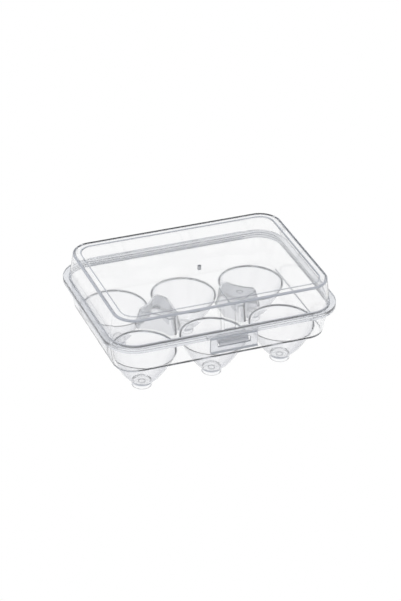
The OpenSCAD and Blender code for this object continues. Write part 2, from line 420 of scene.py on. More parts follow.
@dataclass
class Box:
    """Sizes that the tray and the lid share: a rounded rectangle, swept by profiles.

    A distance that ends in _r is measured outwards from the rectangle's core.
    """

    core_x: float = 62.5
    core_y: float = 38.5
    rim_r: float = 22.1
    wall_r: float = 17.6
    wall_t: float = 1.3
    parting_z: float = 50.2
    parting_gap: float = 0.02
    tray_rim_z: float = 48.0
    lid_rim_z: float = 51.8
    rim_front_y: float = -60.6
    rim_back_y: float = 60.6
    parting_round: float = 0.3
    inner_round: float = 0.35
    rim_root_round: float = 0.5
    land_w: float = 0.3  # how far past the wall the faces at the parting have a line of points
    hinge_l: float = 116.0
    hinge_axis_y: float = 62.4
    leaf_t: float = 0.6
    leaf_in: float = 1.0  # how far the hinge's leaves are sunk into the rims
    painted_light_h: float = 0.45  # how far from the parting the inner corners get painted light and shade
    root_h: float = 0.55  # and how far up and down the corner between rim and wall is
    corner_steps: int = 24

    def ring(self, r: float, z: float) -> list[Vector]:
        """Gives the rounded rectangle at a distance out from the core.

        Args:
            r: Distance out from the core, which is the corner radius too.
            z: Height.

        Returns:
            Points all round, from the corner at +X +Y.
        """
        points = []
        for k, (sx, sy) in enumerate(((1, 1), (-1, 1), (-1, -1), (1, -1))):
            for i in range(self.corner_steps + 1):
                a = math.radians(90 * (k + i / self.corner_steps))
                x = sx * self.core_x + r * math.cos(a)
                y = sy * self.core_y + r * math.sin(a)
                points.append(Vector((x, y, z)))
        return points

    def swept(self, name: str, profile: Sequence[Point]) -> bpy.types.Object:
        """Sweeps a profile round the box and caps its two ends.

        Args:
            name: The object's name.
            profile: Points as (distance out from the core, height).

        Returns:
            The closed shell.
        """
        rings = [self.ring(r, z) for r, z in profile]
        return mesh_piece(name, lambda bm: skin_rings(bm, rings))

    def outward(self, p: Vector) -> float:
        """Gives how far a point lies out from the core.

        Args:
            p: The point in millimetres.

        Returns:
            The distance seen from above.
        """
        return math.hypot(max(abs(p.x) - self.core_x, 0), max(abs(p.y) - self.core_y, 0))


def revolved(profile: Sequence[Point], x: float, y: float, steps: int = 96) -> list[list[Vector]]:
    """Turns a profile about an upright axis.

    Args:
        profile: Points as (radius, height); a radius of 0 makes a pole.
        x: Where the axis stands.
        y: Where the axis stands.
        steps: Points in each ring.

    Returns:
        Rings for skin_rings.
    """
    rings = []
    for r, z in profile:
        if r <= 0:
            rings.append([Vector((x, y, z))])
            continue
        angles = [math.tau * i / steps for i in range(steps)]
        rings.append([Vector((x + r * math.cos(a), y + r * math.sin(a), z)) for a in angles])
    return rings


def bar_along_x(name: str, section: Sequence[Point], length: float) -> bpy.types.Object:
    """Makes a bar with one section all along X, centred on the middle plane.

    Args:
        name: The object's name.
        section: Points as (y, z), all round.
        length: Length along X.

    Returns:
        The bar.
    """
    ends = [[Vector((x, y, z)) for y, z in section] for x in (-length / 2, length / 2)]
    return mesh_piece(name, lambda bm: skin_rings(bm, ends))


def round_section(y: float, z: float, r: float) -> list[Point]:
    """Gives a circle as a section for bar_along_x.

    Args:
        y: Middle of the circle.
        z: Middle of the circle.
        r: Its radius.

    Returns:
        Points as (y, z), all round.
    """
    steps = 24
    angles = [math.tau * i / steps for i in range(steps)]
    return [(y + r * math.cos(a), z + r * math.sin(a)) for a in angles]


def rounded_section(points: Sequence[Point], r: float, steps: int = 3) -> list[Point]:
    """Rounds every corner of a closed section.

    Args:
        points: Corners as (y, z), all round.
        r: Radius of the roundings.
        steps: Straight pieces in each rounding.

    Returns:
        The rounded section.
    """
    looped = [points[-1], *points, points[0]]
    line = fillet([(y, z, r) for y, z in looped], steps)
    return line[1:-1]


class Repeater:
    """Sets copies of a piece on a grid, with Geometry Nodes."""

    INPUTS = (
        ("Columns", "NodeSocketInt"),
        ("Rows", "NodeSocketInt"),
        ("Pitch X", "NodeSocketFloat"),
        ("Pitch Y", "NodeSocketFloat"),
        ("Finish", "NodeSocketMaterial"),
    )

    def __init__(self) -> None:
        """Builds the tree once."""
        tree = bpy.data.node_groups.new("copies_on_a_grid", "GeometryNodeTree")
        face = tree.interface
        face.new_socket("Geometry", in_out="INPUT", socket_type="NodeSocketGeometry")
        face.new_socket("Geometry", in_out="OUTPUT", socket_type="NodeSocketGeometry")
        self.keys = {
            name: face.new_socket(name, in_out="INPUT", socket_type=kind).identifier
            for name, kind in self.INPUTS
        }
        given = add_node(tree, "NodeGroupInput").outputs
        spans = []
        for count, pitch in (("Columns", "Pitch X"), ("Rows", "Pitch Y")):
            gaps = add_node(
                tree,
                "ShaderNodeMath",
                settings={"operation": "SUBTRACT"},
                values={1: 1.0},
                links={0: given[count]},
            )
            spans.append(
                add_node(
                    tree,
                    "ShaderNodeMath",
                    settings={"operation": "MULTIPLY"},
                    links={0: gaps.outputs[0], 1: given[pitch]},
                ).outputs[0]
            )
        grid = add_node(
            tree,
            "GeometryNodeMeshGrid",
            links={
                "Size X": spans[0],
                "Size Y": spans[1],
                "Vertices X": given["Columns"],
                "Vertices Y": given["Rows"],
            },
        )
        spots = add_node(tree, "GeometryNodeMeshToPoints", links={"Mesh": grid.outputs["Mesh"]})
        copies = add_node(
            tree,
            "GeometryNodeInstanceOnPoints",
            links={"Points": spots.outputs["Points"], "Instance": given["Geometry"]},
        )
        real = add_node(
            tree, "GeometryNodeRealizeInstances", links={"Geometry": copies.outputs["Instances"]}
        )
        dressed = add_node(
            tree,
            "GeometryNodeSetMaterial",
            links={"Geometry": real.outputs["Geometry"], "Material": given["Finish"]},
        )
        add_node(tree, "NodeGroupOutput", links={"Geometry": dressed.outputs["Geometry"]})
        self.tree = tree

    def spread(
        self,
        piece: bpy.types.Object,
        columns: int,
        rows: int,
        pitch_x: float,
        pitch_y: float,
        finish: bpy.types.Material,
    ) -> bpy.types.Object:
        """Replaces a piece by its copies on a grid about where it stands.

        Args:
            piece: The piece, at the middle of the grid.
            columns: Copies along X.
            rows: Copies along Y.
            pitch_x: Millimetres between columns.
            pitch_y: Millimetres between rows.
            finish: Material of the copies.

        Returns:
            The same object, its mesh now holding all the copies.
        """
        modifier = piece.modifiers.new("copies", "NODES")
        modifier.node_group = self.tree
        wanted = {
            "Columns": columns,
            "Rows": rows,
            "Pitch X": pitch_x * MM,
            "Pitch Y": pitch_y * MM,
            "Finish": finish,
        }
        for name, value in wanted.items():
            modifier[self.keys[name]] = value
        return bake(piece)


def bake(piece: bpy.types.Object) -> bpy.types.Object:
    """Turns what a piece's modifiers make into its own plain mesh.

    Args:
        piece: The piece, which loses its modifiers.

    Returns:
        The same piece.
    """
    graph = bpy.context.evaluated_depsgraph_get()
    graph.update()
    mesh = bpy.data.meshes.new_from_object(piece.evaluated_get(graph))
    piece.modifiers.clear()
    old = piece.data
    piece.data = mesh
    bpy.data.meshes.remove(old)
    mesh.name = piece.name
    return piece


def combine(piece: bpy.types.Object, others: Sequence[bpy.types.Object], how: str) -> None:
    """Adds other solids to a piece, or cuts them from it, and removes them.

    Args:
        piece: The piece that changes.
        others: The solids.
        how: "UNION" or "DIFFERENCE".
    """
    for other in others:
        cut = piece.modifiers.new(how.lower(), "BOOLEAN")
        cut.operation = how
        cut.solver = "MANIFOLD"
        cut.object = other
        bake(piece)
        bpy.data.objects.remove(other)


def smooth_skin(piece: bpy.types.Object) -> None:
    """Shades roundings smooth and keeps real edges sharp.

    Args:
        piece: The piece, which loses stray points and slivers that cutting left.
    """
    sharp_from = math.radians(32)
    stray_m, sliver_m = 2e-6, 1e-6
    bm = bmesh.new()
    bm.from_mesh(piece.data)
    bmesh.ops.remove_doubles(bm, verts=bm.verts, dist=stray_m)
    bmesh.ops.dissolve_degenerate(bm, edges=bm.edges, dist=sliver_m)
    for face in bm.faces:
        face.smooth = True
    for edge in bm.edges:
        edge.smooth = edge.is_manifold and edge.calc_face_angle(0.0) < sharp_from
    bm.to_mesh(piece.data)
    bm.free()
    even = piece.modifiers.new("even_normals", "WEIGHTED_NORMAL")
    even.keep_sharp = True
    bake(piece)


def dress(
    piece: bpy.types.Object,
    finishes: Sequence[bpy.types.Material],
    choose: Callable[[Vector], Finish],
) -> None:
    """Gives each face of a piece its finish by where it lies.

    Args:
        piece: The piece.
        finishes: Materials, which become its slots.
        choose: Gives the finish at a face's middle, in millimetres centred on the rims.
    """
    piece.data.materials.clear()
    for mat in finishes:
        piece.data.materials.append(mat)
    for face in piece.data.polygons:
        middle = face.center / MM
        middle.y -= FRAME_SHIFT_Y
        face.material_index = choose(middle).value


@dataclass
class Cups:
    """Six cups on ring feet, each a bowl that narrows like an egg's end, in a flat deck."""

    columns: int = 3
    rows: int = 2
    pitch_x: float = 51.5
    pitch_y: float = 55.0
    deck_z: float = 29.0
    deck_t: float = 1.4
    cup_r: float = 23.7
    cup_t: float = 1.2
    bowl_top: float = 1.0  # how far under the deck's top the room's bowl gives way to the lip
    mouth_low: float = 0.7  # how far under the deck's top the cup's solid ends
    lip_r: float = 0.9
    lip_in: float = 0.16
    flare: float = 0.02  # how much wider the room is above the deck
    lip_from_deg: float = 160.0
    lip_turn_deg: float = 70.0
    lip_steps: int = 6
    foot_r: float = 7.0
    foot_h: float = 2.8
    foot_round: float = 0.4
    foot_steps: int = 4
    gate_ring_r: float = 2.5
    gate_ring_w: float = 0.5
    gate_ring_round: float = 0.15
    blend: float = 0.2  # room for the corner between foot and bowl, and inside the mouth
    junction_h: float = 0.9  # how high the painted grey ring of shade between foot and bowl reaches
    steps: int = 20

    def bowl(self, inset: float) -> list[Point]:
        """Gives the bowl's curve from its floor to its mouth.

        Args:
            inset: 0 for the outside of the wall, the wall's thickness for the inside.

        Returns:
            Points as (radius, height).
        """
        depth = self.deck_z - self.foot_h - self.cup_t
        share = (self.foot_r - self.cup_t) / (self.cup_r - self.cup_t)
        curve = depth / (1 - share**2)
        line = []
        for i in range(self.steps, -1, -1):
            d = depth * i / self.steps
            out = self.cup_t + (self.cup_r - self.cup_t) * math.sqrt(1 - d / curve)
            line.append((out - inset, self.deck_z - d))
        return line

    def outside(self) -> list[Point]:
        """Gives the outline of a cup's solid, with its ring foot and the small gate ring.

        Returns:
            Points as (radius, height), from the middle of its floor to the middle of its mouth.
        """
        ring_in, ring_out = self.gate_ring_r - self.gate_ring_w, self.gate_ring_r
        ring_z = self.foot_h - self.gate_ring_w
        foot_in = self.foot_r - self.cup_t
        under = fillet(
            [
                (ring_in, self.foot_h, 0),
                (ring_in, ring_z, self.gate_ring_round),
                (ring_out, ring_z, self.gate_ring_round),
                (ring_out, self.foot_h, self.gate_ring_round),
                (foot_in, self.foot_h, self.foot_round),
                (foot_in, 0, self.foot_round),
                (self.foot_r, 0, self.foot_round),
                (self.foot_r, self.foot_h - self.blend, 0),
            ],
            self.foot_steps,
        )
        low, high = self.foot_h + self.blend, self.deck_z - self.lip_r
        bowl = [p for p in self.bowl(0) if low < p[1] < high]
        mouth_z = self.deck_z - self.mouth_low
        mouth = [(self.cup_r - self.blend, mouth_z), (0, mouth_z)]
        return [(0, self.foot_h), *under, *bowl, *mouth]

    def inside(self) -> list[Point]:
        """Gives the outline of the room in a cup, with its rounded lip.

        Returns:
            Points as (radius, height), from the middle of its floor to past its mouth.
        """
        bowl = [p for p in self.bowl(self.cup_t) if p[1] < self.deck_z - self.bowl_top]
        r, z = self.cup_r - self.lip_in, self.deck_z - self.lip_r
        lip = []
        for i in range(self.lip_steps + 1):
            a = math.radians(self.lip_from_deg - self.lip_turn_deg * i / self.lip_steps)
            lip.append((r + self.lip_r * math.cos(a), z + self.lip_r * math.sin(a)))
        past = self.deck_z + CUTTER_OVER
        return [(0, bowl[0][1]), *bowl, *lip, (r + self.flare, past), (0, past)]

    def solids(
        self, repeater: Repeater, finish: bpy.types.Material
    ) -> tuple[bpy.types.Object, bpy.types.Object]:
        """Makes the six solids and the six rooms in them.

        Args:
            repeater: Sets the copies on their grid.
            finish: Material of the cups.

        Returns:
            The solids and the rooms, each as one object.
        """
        made = []
        for name, line in (("cup_solids", self.outside()), ("cup_rooms", self.inside())):
            rings = revolved(line, 0, 0)
            piece = mesh_piece(name, lambda bm, rings=rings: skin_rings(bm, rings))
            piece.data.transform(Matrix.Translation((0, -FRAME_SHIFT_Y * MM, 0)))
            repeater.spread(piece, self.columns, self.rows, self.pitch_x, self.pitch_y, finish)
            piece.data.transform(Matrix.Translation((0, FRAME_SHIFT_Y * MM, 0)))
            made.append(piece)
        return made[0], made[1]

    def from_middle(self, p: Vector) -> float:
        """Gives how far a point lies from the middle of the nearest cup.

        Args:
            p: The point in millimetres.

        Returns:
            The distance seen from above.
        """
        x = min(abs(p.x - i * self.pitch_x) for i in (-1, 0, 1))
        return math.hypot(x, abs(p.y) - self.pitch_y / 2)


@dataclass
class Post:
    """Hollow post between four cups, with sides that follow the cups."""

    side: int
    cups: Cups
    clear_r: float = 24.7
    height: float = 12.0
    wall: float = 1.2
    lean: float = 1.5
    end_lean: float = 3.2
    reach_out: float = 20.05
    reach_y: float = 19.0
    reach_in: float = 9.55
    mark_x: float = 5.25
    mark_r: float = 2.4
    mark_w: float = 0.6
    mark_deep: float = 0.4
    mark_steps: int = 48
    sunk: float = 0.5  # how far the solid is sunk into the deck
    top_round: float = 0.7
    top_steps: int = 4
    room_bevel: float = 0.4
    span_x: float = 50.0  # over the deck, nothing but the posts lies this near to the middle
    span_y: float = 20.0
    grey_h: float = 0.8  # how far down from the top a post is painted grey shade
    sharpness: float = 30.0  # the higher, the sharper the corners between the sides
    steps: int = 240

    def reach(self, angle: float, inset: float, z: float) -> float:
        """Gives how far the post reaches from its middle in one direction.

        Args:
            angle: The direction, 0 towards the end of the box.
            inset: How far the outline is drawn in.
            z: Height above the deck.

        Returns:
            Distance in millimetres, with the outline's corners rounded.
        """
        c, s = math.cos(angle), math.sin(angle)
        parallel = 1e-6
        ends = self.end_lean * z / self.height + inset
        hits = []
        if abs(c) > parallel:
            hits.append(((self.reach_out if c > 0 else self.reach_in) - ends) / abs(c))
        if abs(s) > parallel:
            hits.append((self.reach_y - ends) / abs(s))
        r = self.clear_r + inset + self.lean * z / self.height
        cx, cy = self.cups.pitch_x / 2, self.cups.pitch_y / 2
        along = abs(c) * cx + abs(s) * cy
        off2 = cx**2 + cy**2 - along**2
        if off2 < r**2:
            hits.append(along - math.sqrt(r**2 - off2))
        nearest = min(hits)
        total = sum((nearest / h) ** self.sharpness for h in hits)
        return nearest * total ** (-1 / self.sharpness)

    def level(self, inset: float, z: float, lean_z: float) -> list[Vector]:
        """Gives the outline at one height.

        Args:
            inset: How far it is drawn in.
            z: Height above the deck.
            lean_z: Height that the lean is taken at.

        Returns:
            Points all round.
        """
        points = []
        for i in range(self.steps):
            a = math.tau * i / self.steps
            d = self.reach(a, inset, lean_z)
            x = self.side * (self.cups.pitch_x / 2 + d * math.cos(a))
            points.append(Vector((x, d * math.sin(a), self.cups.deck_z + z)))
        return points

    def solid(self) -> bpy.types.Object:
        """Makes the post's outside, sunk a little into the deck, with a rounded top edge.

        Returns:
            The solid.
        """
        r = self.top_round
        low = self.height - r
        rings = [self.level(0, -self.sunk, 0), self.level(0, 0, 0), self.level(0, low, low)]
        for i in range(1, self.top_steps + 1):
            a = math.radians(90 * i / self.top_steps)
            rings.append(self.level(r * (1 - math.cos(a)), low + r * math.sin(a), low))
        return mesh_piece("post_solid", lambda bm: skin_rings(bm, rings))

    def room(self) -> bpy.types.Object:
        """Makes the room under the post, open through the deck.

        Returns:
            The room, as a solid to cut.
        """
        wall, top, bevel = self.wall, self.height - self.wall, self.room_bevel
        rings = [
            self.level(wall, -self.cups.deck_t - CUTTER_OVER / 2, 0),
            self.level(wall, 0, 0),
            self.level(wall, top - bevel, top - bevel),
            self.level(wall + bevel, top, top),
        ]
        return mesh_piece("post_room", lambda bm: skin_rings(bm, rings))

    def mark(self) -> bpy.types.Object:
        """Makes the ring groove in the post's top.

        Returns:
            The groove, as a solid to cut.
        """
        top = self.cups.deck_z + self.height
        low, past = top - self.mark_deep, top + CUTTER_OVER / 2
        wide, narrow = self.mark_r, self.mark_r - self.mark_w
        line = [(narrow, past), (narrow, low), (wide, low), (wide, past)]
        rings = revolved(line, self.side * self.mark_middle(), 0, self.mark_steps)
        return mesh_piece("post_mark", lambda bm: skin_rings(bm, rings, closed=True))

    def mark_middle(self) -> float:
        """Gives how far the groove's middle lies from the middle of the box."""
        return self.cups.pitch_x / 2 + self.mark_x

    def has(self, p: Vector) -> bool:
        """Tells whether a point above the deck can only be on a post.

        Args:
            p: The point in millimetres.

        Returns:
            True on a post.
        """
        over_deck = p.z > self.cups.deck_z + SLACK
        return over_deck and abs(p.x) < self.span_x and abs(p.y) < self.span_y

    def is_grey(self, p: Vector) -> bool:
        """Tells whether a point of the post is painted as a grey line of shade.

        Args:
            p: The point in millimetres.

        Returns:
            True in the groove and on the post's rounded top edge.
        """
        top = self.cups.deck_z + self.height
        in_groove = top - self.mark_deep - 2 * SLACK < p.z < top - SLACK / 2
        in_groove &= math.hypot(abs(p.x) - self.mark_middle(), p.y) < self.mark_r + 2 * SLACK
        return in_groove or top - self.grey_h < p.z < top - SLACK


@dataclass
class Tray:
    """The tray: rim, leaning wall, deck, cups, posts, catch and its half of the hinge."""

    box: Box
    cups: Cups = field(default_factory=Cups)
    deck_r: float = 14.0
    deck_in: float = 4.0  # how far in from its edge the deck's section starts
    deck_round: float = 1.0
    under_round: float = 1.2
    rim_round: float = 0.5
    bead_r: float = 0.5
    bead_short: float = 0.2
    catch_w: float = 21.0
    catch_root: float = 2.1  # how deep the wedge's back lies behind the rim's front
    catch_in: float = 0.5  # and how deep its top is sunk into the rim
    catch_under: float = 0.6
    catch_low_z: float = 45.5
    catch_front_y: float = -65.35
    catch_chamfer: float = 0.4
    catch_nose_z: float = 46.7
    catch_top_y: float = -63.25
    catch_top_z: float = 48.5
    catch_round: float = 0.15
    painted_light_to_y: float = 25.0  # the deck's edge gets painted light and shade up to here, not at the back
    painted_light_w: float = 1.0
    root_w: float = 0.6  # how far out from the wall the corner under the rim gets painted light and shade

    NODES = (
        "tray_rim",
        "tray_wall",
        "tray_deck",
        "cup_front_left",
        "cup_front_middle",
        "cup_front_right",
        "cup_back_left",
        "cup_back_middle",
        "cup_back_right",
        "post_left",
        "post_right",
        "hasp_catch",
        "tray_hinge_leaf",
        "lid_hinge_bead",
    )

    def __post_init__(self) -> None:
        """Sets the two posts between the cups."""
        self.posts = [Post(side, self.cups) for side in (-1, 1)]

    def profile(self) -> list[Point]:
        """Gives the section of rim, wall and deck.

        Returns:
            Points as (distance out from the core, height), from the deck's top to its underside.
        """
        b, deck_z = self.box, self.cups.deck_z
        top, under = b.parting_z - b.parting_gap, deck_z - self.cups.deck_t
        return fillet(
            [
                (self.deck_r - self.deck_in, deck_z, 0),
                (self.deck_r - b.wall_t, deck_z, self.deck_round),
                (b.wall_r - b.wall_t, top, b.inner_round),
                (b.wall_r + b.land_w, top, 0),
                (b.rim_r, top, b.parting_round),
                (b.rim_r, b.tray_rim_z, self.rim_round),
                (b.wall_r, b.tray_rim_z, b.rim_root_round),
                (self.deck_r, under, self.under_round),
                (self.deck_r - self.deck_in, under, 0),
            ]
        )

    def catch(self) -> bpy.types.Object:
        """Makes the wedge on the rim that the hasp's window drops over.

        Returns:
            The wedge, sunk into the rim.
        """
        b = self.box
        back_y = b.rim_front_y + self.catch_root
        section = [
            (b.rim_front_y + self.catch_in, b.parting_z - self.catch_under),
            (back_y, b.tray_rim_z + self.catch_in),
            (back_y, self.catch_low_z),
            (self.catch_front_y + self.catch_chamfer, self.catch_low_z),
            (self.catch_front_y, self.catch_low_z + self.catch_chamfer),
            (self.catch_front_y, self.catch_nose_z),
            (self.catch_top_y, self.catch_top_z),
        ]
        return bar_along_x("catch", rounded_section(section, self.catch_round), self.catch_w)

    def leaf(self) -> bpy.types.Object:
        """Makes the tray's half of the thin hinge, up to the bead that it bends at.

        Returns:
            The leaf.
        """
        b = self.box
        z, in_y = b.parting_z - b.parting_gap, b.rim_back_y - b.leaf_in
        section = [
            (in_y, z),
            (in_y, z - b.leaf_t),
            (b.hinge_axis_y, z - b.leaf_t),
            (b.hinge_axis_y, z),
        ]
        return bar_along_x("leaf", section, b.hinge_l)

    def bead(self) -> bpy.types.Object:
        """Makes the round bead that the thin hinge bends at.

        Returns:
            The bead.
        """
        b = self.box
        section = round_section(b.hinge_axis_y, b.parting_z, self.bead_r)
        return bar_along_x("bead", section, b.hinge_l - self.bead_short)

    def build(
        self, repeater: Repeater, finishes: Sequence[bpy.types.Material]
    ) -> bpy.types.Object:
        """Makes the whole moulding.

        Args:
            repeater: Sets copies on a grid.
            finishes: Materials in the order of Finish.

        Returns:
            The tray, riding on its body.
        """
        tray = self.box.swept("tray_moulding", self.profile())
        solids, rooms = self.cups.solids(repeater, finishes[0])
        combine(tray, [solids, *[post.solid() for post in self.posts]], "UNION")
        combine(tray, [self.catch(), self.leaf(), self.bead()], "UNION")
        hollows = [*[post.room() for post in self.posts], *[post.mark() for post in self.posts]]
        combine(tray, [rooms, *hollows], "DIFFERENCE")
        smooth_skin(tray)
        dress(tray, finishes, self.finish_at)
        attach(tray, "tray")
        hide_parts(*self.NODES)
        return tray

    def finish_at(self, p: Vector) -> Finish:
        """Picks the finish of the tray at one place.

        Args:
            p: A face's middle in millimetres.

        Returns:
            The face's finish.
        """
        b, c = self.box, self.cups
        out, ring = b.outward(p), c.from_middle(p)
        # painted light and shade: deck's front edge, parting and rim corners and the catch are
        # pale grey
        deck_edge = p.z < c.deck_z and p.y < self.painted_light_to_y
        deck_edge &= out > self.deck_r - self.painted_light_w
        inner_corner = p.z > b.parting_z - b.painted_light_h and out < b.wall_r
        rim_root = abs(p.z - b.tray_rim_z) < b.root_h and out < b.wall_r + self.root_w
        catch = p.y < b.rim_front_y - SLACK
        if deck_edge or inner_corner or rim_root or catch:
            return Finish.LIP
        if b.tray_rim_z + SLACK < p.z < b.parting_z - SLACK and out > b.wall_r - 2 * SLACK:
            return Finish.BAND
        on_bowl = ring > c.foot_r - c.cup_t
        # painted shade: the ring where foot meets bowl, and the gate ring under it, are painted
        # grey
        if on_bowl and c.foot_h - c.blend < p.z < c.foot_h + c.junction_h:
            return Finish.EDGE
        if p.z < c.foot_h - SLACK / 2 and ring < c.gate_ring_r + SLACK:
            return Finish.EDGE
        # painted light and shade: the cups' lips are painted pale grey
        lip = c.deck_z - c.lip_r < p.z < c.deck_z - SLACK / 5
        if lip and c.cup_r - c.cup_t < ring < c.cup_r + SLACK:
            return Finish.LIP
        # painted shade: the posts' grooves and rounded top edges are painted grey
        post = self.posts[0]
        if post.has(p):
            return Finish.EDGE if post.is_grey(p) else Finish.BAND
        under_deck = p.z < c.deck_z - c.deck_t - SLACK / 2
        return Finish.CURVED if under_deck and on_bowl else Finish.WALL


@dataclass
class Lid:
    """The lid: rim, wall, border, panel, ribs, tab and its half of the hinge."""

    box: Box
    top_z: float = 70.0
    step: float = 0.4
    step_w: float = 0.1  # half the width of the slope between border and panel
    step_round: float = 0.15
    top_r: float = 15.2
    border_w: float = 5.8
    panel_in: float = 3.0  # how far in from the border the panel's section starts
    edge_r: float = 1.0
    under_edge_r: float = 0.9
    rim_round: float = 0.4
    line_w: float = 0.9  # how far the border's inner edge is painted as a grey line of shade
    line_in: float = 0.3
    corner_h: float = 2.4  # how far down and in the rounded top edge gets painted shade and light
    corner_w: float = 2.2
    grey_h: float = 1.0  # the top of it gets painted shade, the rest painted light and shade
    root_w: float = 0.5  # how far out from the wall the corner over the rim gets painted light and shade
    rib_w: float = 2.2
    rib_pitch: float = 10.4
    rib_proud: float = 0.7
    rib_sunk: float = 0.4
    rib_low: float = 0.3  # how far under the rim's top the ribs start
    rib_front_z: float = 67.6
    rib_back_z: float = 68.3
    rib_round: float = 0.2
    stub_r: float = 1.3
    stub_h: float = 3.0
    stub_sunk: float = 0.5
    stub_round: float = 0.3
    stub_steps: int = 40
    stub_grey_z: float = 68.2  # below this only the stub, painted grey shade, is near the lid's middle
    stub_grey_r: float = 2.0
    tab_w: float = 37.0
    tab_front_y: float = -63.0
    tab_root: float = 1.0
    tab_round: float = 0.25
    bead_gap: float = 0.55

    NODES = (
        "lid_rim",
        "lid_wall",
        "lid_border",
        "lid_panel",
        "lid_rib_left",
        "lid_rib_right",
        "lid_hinge_leaf",
        "lid_tab",
    )

    def profile(self) -> list[Point]:
        """Gives the section of panel, border, wall and rim.

        Returns:
            Points as (distance out from the core, height), from the panel's top to its underside.
        """
        b = self.box
        inner, panel_z = self.top_r - self.border_w, self.top_z - self.step
        low = panel_z - b.wall_t
        base = b.parting_z + b.parting_gap
        return fillet(
            [
                (inner - self.panel_in, panel_z, 0),
                (inner - self.step_w, panel_z, self.step_round),
                (inner + self.step_w, self.top_z, self.step_round),
                (inner + self.line_w, self.top_z, 0),
                (self.top_r, self.top_z, self.edge_r),
                (b.wall_r, b.lid_rim_z, b.rim_root_round),
                (b.rim_r, b.lid_rim_z, self.rim_round),
                (b.rim_r, base, b.parting_round),
                (b.wall_r + b.land_w, base, 0),
                (b.wall_r - b.wall_t, base, b.inner_round),
                (self.top_r + self.step_w - b.wall_t, low + self.step, self.under_edge_r),
                (inner + 3 * self.step_w, low + self.step, self.step_round),
                (inner + self.step_w, low, self.step_round),
                (inner - self.panel_in, low, 0),
            ]
        )

    def ribs(self, repeater: Repeater, finish: bpy.types.Material) -> bpy.types.Object:
        """Makes the pair of upright ribs on the lid's front wall.

        Args:
            repeater: Sets the pair.
            finish: Material of the ribs.

        Returns:
            Both ribs as one object.
        """
        b = self.box
        low_y = -(b.core_y + b.wall_r)
        high_y = -(b.core_y + self.top_r + self.step_w)
        low_z = b.lid_rim_z - self.rib_low
        section = [
            (low_y + self.rib_sunk, low_z),
            (low_y - self.rib_proud, low_z),
            (high_y - self.rib_proud, self.rib_front_z),
            (high_y + self.rib_sunk, self.rib_back_z),
        ]
        rib = bar_along_x("ribs", rounded_section(section, self.rib_round), self.rib_w)
        return repeater.spread(rib, 2, 1, self.rib_pitch, 0, finish)

    def stub(self) -> bpy.types.Object:
        """Makes the stub that the moulding gate leaves under the panel.

        Returns:
            The stub, sunk a little into the panel.
        """
        under = self.top_z - self.step - self.box.wall_t
        top, end, r = under + self.stub_sunk, under - self.stub_h, self.stub_r
        line = fillet([(0, top, 0), (r, top, 0), (r, end, self.stub_round), (0, end, 0)], 3)
        rings = revolved(line, 0, 0, self.stub_steps)
        return mesh_piece("stub", lambda bm: skin_rings(bm, rings))

    def tab(self) -> bpy.types.Object:
        """Makes the tab that carries the hasp.

        Returns:
            The tab, sunk into the rim.
        """
        b = self.box
        in_y, low = b.rim_front_y + self.tab_root, b.parting_z + b.parting_gap
        section = [
            (in_y, low),
            (in_y, b.lid_rim_z),
            (self.tab_front_y, b.lid_rim_z),
            (self.tab_front_y, low),
        ]
        return bar_along_x("tab", rounded_section(section, self.tab_round), self.tab_w)

    def leaf(self) -> bpy.types.Object:
        """Makes the lid's half of the thin hinge, up to the bead.

        Returns:
            The leaf, cut away where the bead turns.
        """
        b = self.box
        z, in_y = b.parting_z + b.parting_gap, b.rim_back_y - b.leaf_in
        section = [
            (in_y, z),
            (in_y, z + b.leaf_t),
            (b.hinge_axis_y, z + b.leaf_t),
            (b.hinge_axis_y, z + self.bead_gap),
            (b.hinge_axis_y - self.bead_gap, z),
        ]
        return bar_along_x("leaf", section, b.hinge_l)

    def build(
        self, repeater: Repeater, finishes: Sequence[bpy.types.Material]
    ) -> bpy.types.Object:
        """Makes the whole moulding.

        Args:
            repeater: Sets copies on a grid.
            finishes: Materials in the order of Finish.

        Returns:
            The lid, riding on its body.
        """
        lid = self.box.swept("lid_moulding", self.profile())
        ribs = self.ribs(repeater, finishes[0])
        combine(lid, [ribs, self.stub(), self.tab(), self.leaf()], "UNION")
        smooth_skin(lid)
        dress(lid, finishes, self.finish_at)
        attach(lid, "lid")
        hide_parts(*self.NODES)
        return lid

    def finish_at(self, p: Vector) -> Finish:
        """Picks the finish of the lid at one place.

        Args:
            p: A face's middle in millimetres.

        Returns:
            The face's finish.
        """
        b = self.box
        out = b.outward(p)
        inner = self.top_r - self.border_w
        step = p.z > self.top_z - self.step + SLACK / 5
        step &= inner - self.line_in < out < inner + self.line_w
        corner = p.z > self.top_z - self.corner_h and out > self.top_r - self.corner_w
        stub = p.z < self.stub_grey_z and math.hypot(p.x, p.y) < self.stub_grey_r
        # painted shade: the border's inner edge, the top of the rounded top edge and the stub are
        # painted grey
        if stub or ((step or corner) and p.z > self.top_z - self.grey_h):
            return Finish.EDGE
        # painted light and shade: the rest of those edges and the corners by the rim are painted
        # pale grey
        inner_corner = p.z < b.parting_z + b.painted_light_h and out < b.wall_r
        rim_root = p.z < b.lid_rim_z + b.root_h and out < b.wall_r + self.root_w
        if step or corner or inner_corner or rim_root:
            return Finish.LIP
        rim = b.parting_z + SLACK < p.z < b.lid_rim_z + SLACK and out > b.wall_r - 2 * SLACK
        return Finish.BAND if rim else Finish.WALL


